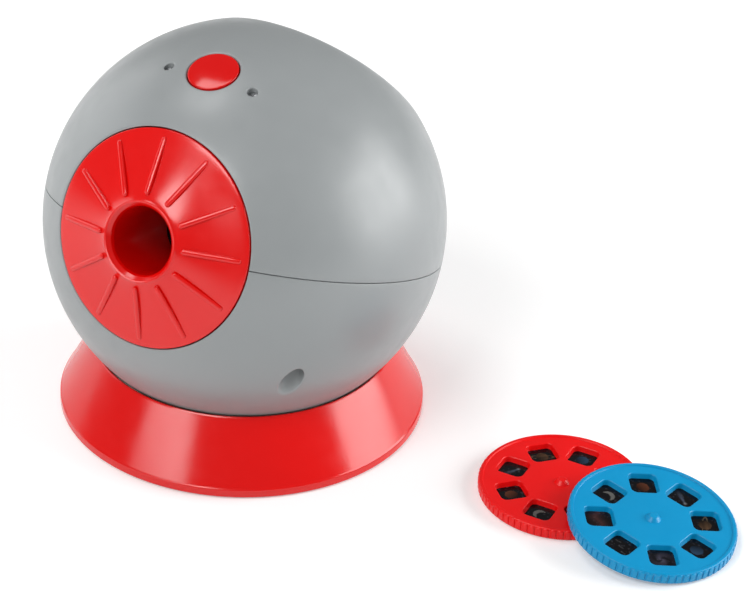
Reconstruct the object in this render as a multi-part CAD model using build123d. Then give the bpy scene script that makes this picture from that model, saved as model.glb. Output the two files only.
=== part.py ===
from build123d import *
import math
import os

os.makedirs("parts", exist_ok=True)

# Driving sizes in millimetres and degrees
BALL_R = 80.0
WALL = 2.4
BALL_LIFT = 2.2
REST_TILT = 18.9
SEAM_GAP = 0.3
FACET_ELEV = 57.0
FACET_ROUND = 10.0
EYE_R = 42.0
EYE_GAP = 0.4
NOZZLE_BORE_R = 12.9
NOZZLE_LIP_R = 15.5
NOZZLE_WALL = 2.1
RIB_COUNT = 12
RIB_W = 2.2
RIB_RISE = 1.2
BUTTON_ELEV = 53.0
BUTTON_R = 9.8
BUTTON_TRAVEL = 2.0
SEAT_ANGLE = 48.16
BASE_FLARE = 14.93
BASE_WALL = 3.0
PLATE_T = 1.6
DISC_R = 33.0
DISC_T = 4.7
DISC_SHOW = 3.1
LENS_TRAVEL = 3.0
FOCUS_HALF_TURN = 80.0
CELL_R = 7.25
CELL_L = 50.5

# Fits and clearances
RUN_GAP = 0.3
SHAFT_GAP = 0.1
SEAT_GAP = 0.25
PIN_GAP = 0.1
SCREW_GAP = 0.2

# Derived sizes
INNER_R = BALL_R - WALL
BALL_H = BALL_R + BALL_LIFT
WINDOW = DISC_R * 0.315
WINDOW_R = DISC_R * 0.6364
DISC_D = -BALL_R * 0.525
DISC_Z = WINDOW_R
FACET_UP = math.sin(math.radians(FACET_ELEV))
FACET_BACK = math.cos(math.radians(FACET_ELEV))
FACET_D = (DISC_Z + DISC_R - DISC_SHOW) * FACET_UP - DISC_D * FACET_BACK
HALF_SEAM = SEAM_GAP / 2

BALL = Pos(0, 0, BALL_H) * Rot(-REST_TILT, 0, 0)
OPT = Rot(90, 0, 0)
FACET = Rot(FACET_ELEV - 90, 0, 0)
LOW = (Align.CENTER, Align.CENTER, Align.MIN)


def cyl(r, z0, z1, x=0.0, y=0.0):
    return Pos(x, y, z0) * Cylinder(r, z1 - z0, align=LOW)


def tube(r_out, r_in, z0, z1):
    return cyl(r_out, z0, z1) - cyl(r_in, z0 - 1, z1 + 1)


def block(x0, x1, y0, y1, z0, z1):
    size = Box(x1 - x0, y1 - y0, z1 - z0)
    return Pos((x0 + x1) / 2, (y0 + y1) / 2, (z0 + z1) / 2) * size


def cone(r0, r1, z0, z1, x=0.0, y=0.0):
    return Pos(x, y, z0) * Cone(r0, r1, z1 - z0, align=LOW)


def turned(points):
    section = make_face(Polyline(*[(r, 0, z) for r, z in points], close=True))
    return revolve(section, axis=Axis.Z)


def group(shapes):
    return Compound(children=[s.solid() if len(s.solids()) == 1 else s for s in shapes])


def save(name, shape, place):
    export_step(place * shape, "parts/" + name + ".step")


def lead(points, r=0.6):
    path = FilletPolyline(*points, radius=2.0)
    start = Plane(origin=path @ 0, z_dir=path % 0)
    return sweep(start * Circle(r), path=path)


# Base: cone shell with a ledge for the swivel ring, bottom plate and plate screws
LIP_GAP = 0.5
LIP_W = 1.1
LIP_BAND = 3.6
LIP_EDGE = 0.4
RIM_Z = 0.4
LEDGE_DROP = 10.2
LEDGE_T = 2.5
POCKET_R = (BALL_R + LIP_GAP) * math.sin(math.radians(SEAT_ANGLE))
LIP_TOP = BALL_H - (BALL_R + LIP_GAP) * math.cos(math.radians(SEAT_ANGLE))
LEDGE_Z = LIP_TOP - LEDGE_DROP
BASE_R = POCKET_R + BASE_FLARE
CONE_LOW = LIP_BAND + 0.5
CONE_R = BASE_R - 0.6
BASE_SLOPE = (CONE_R - POCKET_R - LIP_W) / (LIP_TOP - LIP_EDGE - CONE_LOW)
PLATE_R = BASE_R - BASE_WALL + 0.1
BOSS_R = 3.4
BASE_SCREW_R = 1.4
BASE_SCREW_PCD = POCKET_R - 4.0
BASE_SCREW_COUNT = 4


def base_screw_spots():
    step = 360 / BASE_SCREW_COUNT
    return [Rot(0, 0, 45 + step * i) * Pos(BASE_SCREW_PCD, 0, 0) for i in range(BASE_SCREW_COUNT)]


def base_shell():
    inner = CONE_R - BASE_WALL
    core = POCKET_R + 2.2
    core_z = CONE_LOW + (inner - core) / BASE_SLOPE
    profile = [
        (BASE_R, RIM_Z),
        (BASE_R - 0.15, LIP_BAND),
        (CONE_R, CONE_LOW),
        (POCKET_R + LIP_W, LIP_TOP - LIP_EDGE),
        (POCKET_R + LIP_W - LIP_EDGE, LIP_TOP),
        (POCKET_R, LIP_TOP),
        (POCKET_R, LEDGE_Z),
        (POCKET_R - 10, LEDGE_Z),
        (POCKET_R - 10, LEDGE_Z - LEDGE_T),
        (core, LEDGE_Z - LEDGE_T),
        (core, core_z),
        (inner, CONE_LOW),
        (inner, PLATE_T + 0.2),
        (PLATE_R + RUN_GAP, PLATE_T + 0.2),
        (PLATE_R + RUN_GAP, RIM_Z),
    ]
    shape = turned(profile)
    for spot in base_screw_spots():
        shape += spot * cyl(BOSS_R, PLATE_T, LEDGE_Z - LEDGE_T + 0.5)
    for spot in base_screw_spots():
        shape -= spot * cyl(BASE_SCREW_R - 0.2, PLATE_T - 1, PLATE_T + 10)
    return shape


def base_plate():
    shape = cyl(PLATE_R, 0, PLATE_T)
    for spot in base_screw_spots():
        shape -= spot * cone(BASE_SCREW_R * 2 + 0.3, BASE_SCREW_R + 0.1, -0.01, 1.5)
        shape -= spot * cyl(BASE_SCREW_R + 0.1, -1, PLATE_T + 1)
    return shape


def base_screws():
    pilot = BASE_SCREW_R - 0.2
    shank = cyl(pilot, 0.1, PLATE_T + 8.5) + cone(BASE_SCREW_R * 2, pilot, 0.1, 1.4)
    return group([spot * shank for spot in base_screw_spots()])


# Swivel ring: turns on the ledge, and the ball tilts in its spherical seat
RING_T = 6.0


def swivel_ring():
    ring = cyl(POCKET_R - SEAT_GAP - 0.15, LEDGE_Z, LEDGE_Z + RING_T)
    return ring - Pos(0, 0, BALL_H) * Sphere(BALL_R + SEAT_GAP)


# Ball shells: two halves that meet on the eye's equator
SHELL_SCREW_X = BALL_R * 0.67125
SHELL_SCREW_Y = BALL_R * 0.48
SHELL_SCREW_R = 1.5
COUNTERBORE_R = 4.3
SHELL_HEAD_Z = -BALL_R * 0.15
LEG_X = BALL_R * 0.45
LEG_Y = BALL_R * 0.25
FLOOR_Z = -BALL_R * 0.375
FLOOR_T = 3.0
TONGUE_H = 2.0
BUTTON_HOLE_R = BUTTON_R + EYE_GAP
SIDE_SCREW_X = BALL_R * 0.2325
SIDE_SCREW_Y = -BALL_R * 0.0325
SIDE_SCREW_R = 1.2
SIDE_HEAD_R = 1.8
SIDE_HOLE_R = SIDE_HEAD_R + SCREW_GAP
BUTTON_AT = Rot(90 - BUTTON_ELEV, 0, 0)
SLOT_W = DISC_T + 4 * RUN_GAP
EYE_DEEP = BALL_R * 0.5
CELL_GAP = 0.6
CELL_PITCH = 2 * CELL_R + CELL_GAP
BOX_WALL = 1.6
SPRING = 2.75
BOX_X = CELL_PITCH + CELL_R + BOX_WALL + 0.65
BOX_Y = CELL_L / 2 + SPRING + BOX_WALL
DOOR_X = BOX_X - 1.2
DOOR_Y0 = -BOX_Y + 1.0
DOOR_Y1 = BOX_Y + 8.4
DOOR_TOP = -BALL_R * 0.625
DOOR_SCREW_Y = BOX_Y + 4.2
DOOR_SCREW_R = 1.2
DOOR_HEAD_R = 2.3
DOOR_AT = Rot(math.degrees(math.asin(DOOR_SCREW_Y / BALL_R)), 0, 0)
DOOR_SEAT = -BALL_R + 1.2
SHELF_TOP = -BALL_R * 0.75


def ball_solid(inset):
    r = BALL_R - inset
    top = FACET_D - inset
    bend = FACET_ROUND - inset
    mid_z = top - bend
    mid_r = math.sqrt((r - bend) ** 2 - mid_z ** 2)
    half = math.atan2(mid_r, mid_z) / 2
    touch = (r * math.sin(2 * half), 0, r * math.cos(2 * half))
    knee = (mid_r + bend * math.sin(half), 0, mid_z + bend * math.cos(half))
    line = ThreePointArc((0, 0, -r), (r, 0, 0), touch)
    line += ThreePointArc(touch, knee, (mid_r, 0, top))
    line += Polyline((mid_r, 0, top), (0, 0, top), (0, 0, -r))
    return FACET * revolve(make_face(line.edges()), axis=Axis.Z)


def shell_screw_spots():
    return [(sx * SHELL_SCREW_X, sy * SHELL_SCREW_Y) for sx in (-1, 1) for sy in (-1, 1)]


def leg_spots():
    return [(sx * LEG_X, sy * LEG_Y) for sx in (-1, 1) for sy in (-1, 1)]


def eye_cut():
    return OPT * cyl(EYE_R, EYE_DEEP, BALL_R + 5)


def side_spots():
    return [(sx * SIDE_SCREW_X, SIDE_SCREW_Y) for sx in (-1, 1)]


SIDE_SEAT = BALL_R - 6.0
SIDE_END = BALL_R - 9.5


def upper_shell():
    shape = ball_solid(0) - ball_solid(WALL)
    shape -= block(-100, 100, -100, 100, -100, HALF_SEAM)
    backing = ball_solid(WALL / 2)
    for x, y in shell_screw_spots():
        shape += cyl(3.8, HALF_SEAM, BALL_R, x, y) & backing
    for x, y in side_spots():
        shape += (BUTTON_AT * cyl(SIDE_HOLE_R + 2, SIDE_END, BALL_R, x, y)) & backing
    shape -= eye_cut()
    shape -= BUTTON_AT * cyl(BUTTON_HOLE_R, BALL_R - 9, BALL_R + 2)
    for x, y in shell_screw_spots():
        shape -= cyl(SHELL_SCREW_R - 0.2, -1, 15, x, y)
    for x, y in side_spots():
        shape -= BUTTON_AT * cyl(SIDE_HOLE_R, SIDE_SEAT, BALL_R + 2, x, y)
        shape -= BUTTON_AT * cyl(SIDE_SCREW_R + 0.1, SIDE_END - 1, SIDE_SEAT + 1, x, y)
    slot = DISC_R + 4 * RUN_GAP
    shape -= block(-slot, slot, -DISC_D - SLOT_W / 2, -DISC_D + SLOT_W / 2, DISC_Z, BALL_R)
    return shape


def lower_shell():
    shape = ball_solid(0) - ball_solid(WALL)
    shape -= block(-100, 100, -100, 100, -HALF_SEAM, 100)
    r = INNER_R - SEAT_GAP
    shape += turned([(INNER_R + 0.4, -4), (r, -1), (r, TONGUE_H), (r - 1.5, TONGUE_H), (r - 1.5, -4)])
    backing = Sphere(BALL_R - WALL / 2)
    for x, y in shell_screw_spots():
        shape += cyl(COUNTERBORE_R + 1.8, -BALL_R, -HALF_SEAM, x, y) & backing
    for x, y in leg_spots():
        shape += cyl(4.0, -BALL_R, FLOOR_Z, x, y) & backing
    shape -= eye_cut()
    for x, y in shell_screw_spots():
        shape -= cyl(COUNTERBORE_R, -BALL_R, SHELL_HEAD_Z, x, y)
        shape -= cyl(SHELL_SCREW_R + 0.2, SHELL_HEAD_Z - 1, 1, x, y)
    for x, y in leg_spots():
        shape -= cyl(1.2, FLOOR_Z - 10, FLOOR_Z + 1, x, y)
    door = block(-DOOR_X, DOOR_X, DOOR_Y0, DOOR_Y1, -BALL_R - 1, DOOR_TOP)
    shape -= door - Sphere(INNER_R)
    shape -= block(-DOOR_X, DOOR_X, DOOR_Y0, BOX_Y, -BALL_R, SHELF_TOP)
    return shape


def shell_screws():
    screw = cyl(3.0, SHELL_HEAD_Z - 2.4, SHELL_HEAD_Z) + cyl(SHELL_SCREW_R - 0.2, SHELL_HEAD_Z - 1, 12)
    screw -= block(-2.0, 2.0, -0.4, 0.4, SHELL_HEAD_Z - 3, SHELL_HEAD_Z - 1.2)
    screw -= block(-0.4, 0.4, -2.0, 2.0, SHELL_HEAD_Z - 3, SHELL_HEAD_Z - 1.2)
    return group([Pos(x, y, 0) * screw for x, y in shell_screw_spots()])


# Battery door: a patch of the sphere with two tongues and one screw
TONGUE_X = (-10, 10)


def tongue_z():
    return -math.sqrt(INNER_R ** 2 - 13 ** 2 - DOOR_Y0 ** 2) + 1.0


def tongue(x, gap):
    z = tongue_z()
    return block(x - 3 - gap, x + 3 + gap, DOOR_Y0 - 1.6 - gap, DOOR_Y0 + 2.4, z - gap, z + 1.4 + gap)


def battery_door():
    gap = EYE_GAP
    patch = Sphere(BALL_R) - Sphere(INNER_R + 0.2)
    patch &= block(-DOOR_X + gap, DOOR_X - gap, DOOR_Y0 + gap, DOOR_Y1 - gap, -BALL_R - 1, DOOR_TOP)
    for x in TONGUE_X:
        patch += tongue(x, 0)
        patch += block(x - 3, x + 3, DOOR_Y0 + 1.0, DOOR_Y0 + 2.4, tongue_z() - 2.2, tongue_z() + 1.0)
    patch -= DOOR_AT * cyl(DOOR_HEAD_R + RUN_GAP, -BALL_R - 1, DOOR_SEAT)
    return patch - DOOR_AT * cyl(DOOR_SCREW_R + 0.1, -BALL_R - 1, DOOR_SEAT + 5)


def door_screw():
    head = cyl(DOOR_HEAD_R, DOOR_SEAT - 1, DOOR_SEAT)
    head -= block(-1.6, 1.6, -0.3, 0.3, DOOR_SEAT - 2, DOOR_SEAT - 0.5)
    return DOOR_AT * (head + cyl(DOOR_SCREW_R - 0.2, DOOR_SEAT - 0.2, DOOR_SEAT + 6.8))


# Battery box, cells and contacts
CELL_Z = -BALL_R * 0.71875
BOX_TOP = CELL_Z + CELL_R + 2.4
SHELF_X = 8.0
CONTACT_T = 0.5
BOARD_Z = -BALL_R * 0.5
BOARD_T = 1.6
BOARD_X = 22.0
BOARD_Y = 18.0
POST_IN = 4.0


def post_spots():
    return [(sx * (BOARD_X - POST_IN), sy * (BOARD_Y - POST_IN)) for sx in (-1, 1) for sy in (-1, 1)]


def feed_spots():
    y = BOX_Y - BOX_WALL - 0.6
    return [(CELL_PITCH, y), (-CELL_PITCH, -y)]


def battery_box():
    shape = block(-BOX_X, BOX_X, -BOX_Y, BOX_Y, -BALL_R, BOX_TOP)
    shape += block(-SHELF_X, SHELF_X, BOX_Y - 1, DOOR_Y1 + 0.5, -BALL_R, SHELF_TOP)
    x_in = BOX_X - BOX_WALL
    y_in = BOX_Y - BOX_WALL
    shape -= block(-x_in, x_in, -y_in, y_in, -BALL_R - 1, BOX_TOP - BOX_WALL)
    for x, y in post_spots():
        shape += cyl(2.2, BOX_TOP - 0.5, BOARD_Z, x, y)
        shape -= cyl(0.8, BOARD_Z - 5, BOARD_Z + 1, x, y)
    for x in TONGUE_X:
        shape -= tongue(x, RUN_GAP)
    shape -= DOOR_AT * cyl(DOOR_SCREW_R - 0.2, -BALL_R, DOOR_SEAT + 7.3)
    for x, y in feed_spots():
        shape -= cyl(0.9, BOX_TOP - 4, BOX_TOP + 1, x, y)
    return shape & Sphere(INNER_R - 0.05)


def battery_cells():
    body = CELL_L - 1.0
    cell = Pos(0, -CELL_L / 2, 0) * Rot(-90, 0, 0) * (cyl(CELL_R, 0, body) + cyl(2.7, body - 0.1, CELL_L))
    spots = [(-CELL_PITCH, 0), (0, 180), (CELL_PITCH, 0)]
    return group([Pos(x, 0, CELL_Z) * Rot(0, 0, turn) * cell for x, turn in spots])


def battery_contacts():
    y_wall = BOX_Y - BOX_WALL
    reach = y_wall - CELL_L / 2 - CONTACT_T
    shapes = []
    for turn in (0, 180):
        for xs in ((-CELL_PITCH, 0), (CELL_PITCH,)):
            plate = block(xs[0] - 5, xs[-1] + 5, -CONTACT_T, 0, CELL_Z - 5, CELL_Z + 5)
            for x in xs:
                plate += Pos(x, -CONTACT_T, CELL_Z) * Rot(90, 0, 0) * Cone(3.5, 2.2, reach, align=LOW)
            shapes.append(Rot(0, 0, turn) * Pos(0, y_wall, 0) * plate)
    return group(shapes)


# Control board on the battery box
BOARD_TOP = BOARD_Z + BOARD_T


def control_board():
    shape = block(-BOARD_X, BOARD_X, -BOARD_Y, BOARD_Y, BOARD_Z, BOARD_TOP)
    for x, y in post_spots():
        shape -= cyl(1.0, BOARD_Z - 1, BOARD_Z + 3, x, y)
    return shape


def board_screws():
    top = BOARD_TOP
    screw = cyl(1.7, top, top + 1.2) + cyl(0.8, BOARD_Z - 4, top + 0.5)
    return group([Pos(x, y, 0) * screw for x, y in post_spots()])


def board_parts():
    top = BOARD_TOP
    end = BOARD_Y - 0.5
    chip = block(-5, 5, -4, 4, top, top + 1.8)
    cap = cyl(3.0, top, top + 5.5, 14, 4)
    coil = block(-17, -10, 4, 11, top, top + 4)
    plug = block(-4, 8, end - 5, end, top, top + 5)
    jack = block(4, 14, -end, -end + 5, top, top + 5)
    return group([chip, cap, coil, plug, jack])


# Optics frame along the eye axis: local z runs forward out of the eye
GUIDE_R_IN = BALL_R * 0.2075
GUIDE_R_OUT = GUIDE_R_IN + 2.4
SLEEVE_R_IN = GUIDE_R_OUT + RUN_GAP
SLEEVE_R_OUT = SLEEVE_R_IN + 2.7
BEARING_R_IN = SLEEVE_R_OUT + SHAFT_GAP
BEARING_R_OUT = BEARING_R_IN + 5.9
LENS_D = BALL_R * 0.25
PIN_R = 1.4
FRONT_D = BALL_R * 0.425
FLANGE_R = SLEEVE_R_OUT + 2.7
TUNNEL_R_IN = GUIDE_R_IN - 0.6
TUNNEL_R_OUT = TUNNEL_R_IN + 2.0
GATE_FRONT = DISC_D + DISC_T / 2 + RUN_GAP
GATE_T = 2.4
PIP_R = 2.6
APERTURE = WINDOW + 1.6
LAMP_FRONT = DISC_D - DISC_T / 2 - RUN_GAP
LAMP_T = 1.8
BOARD_D = LAMP_FRONT - 16.0
GATE_X = BALL_R * 0.375
GATE_TOP = BALL_R * 0.525
FLOOR_X = BOARD_X
FOOT = 5.0


def retainer_spots():
    return [Rot(0, 0, 90 + 120 * i) * Pos(BEARING_R_OUT - 1.7, 0, 0) for i in range(3)]


def optics_frame():
    low = FLOOR_Z
    top = FLOOR_Z + FLOOR_T
    shape = tube(BEARING_R_OUT, BEARING_R_IN, -2, FRONT_D)
    shape -= cyl(FLANGE_R + RUN_GAP, FRONT_D - 2.7, FRONT_D + 1)
    shape += tube(BEARING_R_OUT, TUNNEL_R_IN, -3, 0)
    shape += tube(GUIDE_R_OUT, GUIDE_R_IN, -1, FRONT_D - 2)
    shape += tube(TUNNEL_R_OUT, TUNNEL_R_IN, GATE_FRONT, -2)
    shape += block(-GATE_X, GATE_X, low, GATE_TOP, GATE_FRONT, GATE_FRONT + GATE_T)
    shape += block(-FLOOR_X, FLOOR_X, low, top, BOARD_D, FRONT_D)
    shape += block(-LEG_X - FOOT, LEG_X + FOOT, low, top, -LEG_Y - FOOT, LEG_Y + FOOT)
    shape -= cyl(TUNNEL_R_IN, GATE_FRONT + GATE_T, -2)
    half = APERTURE / 2
    shape -= block(-half, half, -half, half, GATE_FRONT - 1, GATE_FRONT + GATE_T + 1)
    groove = PIP_R + PIN_GAP
    shape -= cyl(groove, GATE_FRONT - 1, GATE_FRONT + GATE_T + 1, 0, DISC_Z)
    shape -= block(-groove, groove, DISC_Z, GATE_TOP + 5, GATE_FRONT - 1, GATE_FRONT + GATE_T + 1)
    reach = LENS_TRAVEL + PIN_R + 0.4
    for turn in (0, 180):
        wide = PIN_R + PIN_GAP
        shape -= Rot(0, 0, turn) * block(GUIDE_R_IN - 1, GUIDE_R_OUT + 0.2, -wide, wide, LENS_D - reach, LENS_D + reach)
    for spot in retainer_spots():
        shape -= spot * cyl(0.8, FRONT_D - 8, FRONT_D + 1)
    for x, y in leg_spots():
        shape -= Rot(-90, 0, 0) * cyl(1.5, low - 1, top + 1, x, y)
    return shape


def frame_screws():
    top = FLOOR_Z + FLOOR_T
    screw = cyl(2.8, top, top + 1.8) + cyl(1.2, FLOOR_Z - 7, top + 0.5)
    return group([Pos(x, y, 0) * screw for x, y in leg_spots()])


def focus_retainer():
    ring = tube(BEARING_R_OUT, BEARING_R_IN + 0.1, FRONT_D, FRONT_D + 2)
    for spot in retainer_spots():
        ring -= spot * cyl(1.1, FRONT_D - 1, FRONT_D + 3)
    return ring


def retainer_screws():
    screw = cyl(1.6, FRONT_D + 2, FRONT_D + 3.2) + cyl(0.8, FRONT_D - 6, FRONT_D + 2.5)
    return group([spot * screw for spot in retainer_spots()])


# Focus wheel: conical face with grip ribs and the nozzle, and its cam sleeve
WHEEL_R = EYE_R - EYE_GAP
NECK_END = FRONT_D + 4.0
NECK_R = NOZZLE_BORE_R + NOZZLE_WALL
FACE_LOW = math.sqrt(BALL_R ** 2 - EYE_R ** 2) - 0.3
FACE_TOP = BALL_R - 3.9
FACE_IN = NOZZLE_LIP_R + 2.4
FACE_OUT = WHEEL_R - 2.2
FACE_T = 2.4
FACE_RIM = FACE_LOW + 1.1


def face_d(r):
    return FACE_RIM + (FACE_TOP - FACE_RIM) * (FACE_OUT - r) / (FACE_OUT - FACE_IN)


FACE_LINE = [
    (WHEEL_R, FACE_LOW),
    (WHEEL_R - 0.5, FACE_LOW + 0.5),
    (FACE_OUT, face_d(FACE_OUT)),
    (FACE_IN, face_d(FACE_IN)),
    (FACE_IN - 1.6, BALL_R - 2.9),
]


def wheel_lip():
    top = BALL_R - 2.0
    return [(NOZZLE_LIP_R, top - 0.3), (NOZZLE_LIP_R - 0.8, top), (NOZZLE_BORE_R + 0.9, top - 0.3), (NOZZLE_BORE_R, top - 1.6)]


def focus_wheel():
    back = [
        (NOZZLE_BORE_R, NECK_END),
        (NECK_R, NECK_END),
        (NECK_R, face_d(NECK_R + 1) - FACE_T - 0.6),
        (NECK_R + 1, face_d(NECK_R + 1) - FACE_T),
        (WHEEL_R - FACE_T, face_d(WHEEL_R - FACE_T) - FACE_T),
        (WHEEL_R - FACE_T, FACE_LOW - 5),
        (WHEEL_R, FACE_LOW - 5),
    ]
    shape = turned(FACE_LINE + wheel_lip() + back)
    out, low = FACE_OUT, face_d(FACE_OUT)
    cover = turned([(out, low + RIB_RISE * 0.6), (FACE_IN, FACE_TOP + RIB_RISE * 1.3), (FACE_IN, FACE_TOP - 1), (out, low - 1)])
    bar = Pos((out + FACE_IN) / 2, 0, low - 2) * extrude(SlotOverall(out - FACE_IN, RIB_W), 20)
    rib = bar & cover
    for i in range(RIB_COUNT):
        shape += Rot(0, 0, 4 + 360 / RIB_COUNT * i) * rib
    return shape


def cam_sleeve():
    shape = tube(NECK_R + 2.6, NECK_R, FRONT_D + 2.6, FRONT_D + 12)
    shape += tube(SLEEVE_R_OUT, NOZZLE_BORE_R + 0.3, FRONT_D + 0.6, FRONT_D + 2.6)
    shape += tube(SLEEVE_R_OUT, SLEEVE_R_IN, 1.5, FRONT_D + 1)
    shape += tube(FLANGE_R, SLEEVE_R_IN, FRONT_D - 2.4, FRONT_D - RUN_GAP)
    margin = 6.0
    span = 2 * (FOCUS_HALF_TURN + margin)
    lead_mm = LENS_TRAVEL / FOCUS_HALF_TURN * 360
    rise = lead_mm * span / 360
    mean_r = (SLEEVE_R_IN + SLEEVE_R_OUT) / 2 - 0.6
    path = Helix(lead_mm, rise, mean_r, lefthand=True)
    wide = 2 * (PIN_R + PIN_GAP) + 0.2
    mark = Plane(origin=path @ 0, x_dir=(path @ 0).X * Vector(1, 0, 0), z_dir=path % 0)
    cutter = sweep(mark * Rectangle(3.4, wide), path=path, is_frenet=True)
    cutter = Rot(0, 0, span / 2) * Pos(0, 0, LENS_D - rise / 2) * cutter
    for turn in (0, 180):
        shape -= Rot(0, 0, turn) * cutter
    return shape


# Lens cell: barrel, two lenses, retainer and two cam pins
BARREL_R = GUIDE_R_IN - SHAFT_GAP
BARREL_HALF = 9.0
GLASS_R = GUIDE_R_IN - 3.1
STOP_R = GLASS_R - 1.5
PIN_IN = GLASS_R + 0.5


def lens_barrel():
    d0 = LENS_D - BARREL_HALF
    d1 = LENS_D + BARREL_HALF
    shape = tube(BARREL_R, STOP_R, d0, d1)
    shape -= cyl(GLASS_R, LENS_D + 1.5, d1 + 1)
    shape -= cyl(GLASS_R, d0 - 1, LENS_D - 1.5)
    for turn in (0, 180):
        shape -= Rot(0, 0, turn) * Pos(PIN_IN, 0, LENS_D) * Rot(0, 90, 0) * Cylinder(PIN_R, 12, align=LOW)
    return shape


def glass(z0, z1, bulge0, bulge1):
    body = cyl(GLASS_R, z0, z1)
    for z, bulge, side in ((z0, bulge0, -1), (z1, bulge1, 1)):
        if bulge > 0:
            radius = (GLASS_R ** 2 + bulge ** 2) / (2 * bulge)
            cap = Pos(0, 0, z + side * (bulge - radius)) * Sphere(radius)
            span = cyl(GLASS_R, z - bulge - 1, z) if side < 0 else cyl(GLASS_R, z, z + bulge + 1)
            body += cap & span
    return body


def front_lens():
    return glass(LENS_D + 1.75, LENS_D + 3.75, 1.0, 2.0)


def rear_lens():
    return glass(LENS_D - 5.25, LENS_D - 1.75, 1.2, 1.0)


def lens_retainers():
    front = tube(GLASS_R, STOP_R, LENS_D + 4.22, LENS_D + BARREL_HALF - 0.5)
    rear = tube(GLASS_R, STOP_R, LENS_D - BARREL_HALF + 0.5, LENS_D - 5.55)
    return group([front, rear])


def cam_pins():
    pin = Pos(PIN_IN, 0, LENS_D) * Rot(0, 90, 0) * Cylinder(PIN_R, SLEEVE_R_IN + 1.2 - PIN_IN, align=LOW)
    return group([pin, Rot(0, 0, 180) * pin])


# Lamp: house, condenser, emitter, board and heat sink
LAMP_R = GLASS_R + 1.5
CONDENSER_D = LAMP_FRONT - LAMP_T - 1.0
SINK_L = 6.0
LAMP_X = 20.0
LAMP_TOP = 8.0


def lamp_house():
    shape = block(-LAMP_X, LAMP_X, FLOOR_Z + FLOOR_T, LAMP_TOP, LAMP_FRONT - LAMP_T, LAMP_FRONT)
    shape += cyl(LAMP_R, BOARD_D, LAMP_FRONT)
    shape += block(-LAMP_X, LAMP_X, FLOOR_Z + FLOOR_T, FLOOR_Z + FLOOR_T + 2, BOARD_D, LAMP_FRONT)
    shape -= cyl(GLASS_R, CONDENSER_D - 7.5, CONDENSER_D)
    shape -= cyl(GLASS_R - 1, BOARD_D - 1, CONDENSER_D)
    half = APERTURE / 2
    shape -= block(-half, half, -half, half, CONDENSER_D - 1, LAMP_FRONT + 1)
    return shape


def condenser_lens():
    return glass(CONDENSER_D - 4, CONDENSER_D, 3.0, 0.0)


def led_board():
    return cyl(LAMP_R - 1, BOARD_D - 1.6, BOARD_D)


def led_emitter():
    base = cyl(4.0, BOARD_D, BOARD_D + 1.4)
    dome = Pos(0, 0, BOARD_D + 1.4) * Sphere(2.6)
    return base + (dome & cyl(5, BOARD_D + 1.4, BOARD_D + 6))


def heat_sink():
    back = BOARD_D - 1.6
    shape = cyl(LAMP_R - 2, back - SINK_L, back)
    for x in (-8, -4, 0, 4, 8):
        shape -= block(x - 1, x + 1, -20, 20, back - SINK_L - 1, back - 2)
    return shape


# Power button, bracket and switch: local z runs out of the ball through the button
BUTTON_TOP = BALL_R + 0.7
FLANGE_TOP = math.sqrt(INNER_R ** 2 - (BUTTON_HOLE_R + 2) ** 2) - 0.5
STEM_END = BALL_R - 9.0
BRACKET_T = 2.0
BRACKET_TOP = SIDE_END
SWITCH_TOP = BRACKET_TOP - BRACKET_T
SWITCH_H = 7.0


def power_button():
    crown = 120.0
    shape = cyl(BUTTON_R, FLANGE_TOP - 1.4, BUTTON_TOP)
    shape &= Pos(0, 0, BUTTON_TOP - crown) * Sphere(crown)
    shape += cyl(BUTTON_R + 1.8, FLANGE_TOP - 1.4, FLANGE_TOP)
    shape -= cyl(BUTTON_R - 1.8, FLANGE_TOP - 5, BUTTON_TOP - 2.2)
    return shape + cyl(2.4, STEM_END, BUTTON_TOP - 2.0)


def switch_plunger():
    return cyl(1.5, SWITCH_TOP - 3.5, STEM_END)


def switch_bracket():
    shape = block(-SIDE_SCREW_X - 4, SIDE_SCREW_X + 4, -10, 10, BRACKET_TOP - BRACKET_T, BRACKET_TOP)
    shape -= cyl(3.0, BRACKET_TOP - BRACKET_T - 1, BRACKET_TOP + 1)
    for x, y in side_spots():
        shape += cyl(3.4, BRACKET_TOP - 7, BRACKET_TOP, x, y)
        shape -= cyl(SIDE_SCREW_R - 0.2, BRACKET_TOP - 6.5, BRACKET_TOP + 1, x, y)
    return shape


def power_switch():
    shape = block(-5, 5, -5, 5, SWITCH_TOP - SWITCH_H, SWITCH_TOP)
    shape -= cyl(1.5 + PIN_GAP, SWITCH_TOP - SWITCH_H + 0.8, SWITCH_TOP + 1)
    for x in (-2.5, 2.5):
        shape += block(x - 0.4, x + 0.4, -0.3, 0.3, SWITCH_TOP - SWITCH_H - 3, SWITCH_TOP - SWITCH_H)
    return shape


def side_screws():
    screw = cyl(SIDE_HEAD_R, SIDE_SEAT, SIDE_SEAT + 1.6) + cyl(SIDE_SCREW_R - 0.2, BRACKET_TOP - 6, SIDE_SEAT + 0.5)
    screw -= block(-1.3, 1.3, -0.25, 0.25, SIDE_SEAT + 0.9, SIDE_SEAT + 2)
    screw -= block(-0.25, 0.25, -1.3, 1.3, SIDE_SEAT + 0.9, SIDE_SEAT + 2)
    return group([Pos(x, y, 0) * screw for x, y in side_spots()])


# Leads between the board, the lamp, the cells and the switch
def lamp_leads():
    z = BOARD_TOP + 2.8
    y = -BOARD_D + 0.8
    shapes = []
    for x in (0.5, 3.5):
        foot = -math.sqrt((LAMP_R - 1) ** 2 - x ** 2) - 0.05
        shapes.append(lead([(x, BOARD_Y - 0.5, z), (x, y, z), (x, y, foot)]))
    return group(shapes)


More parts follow.
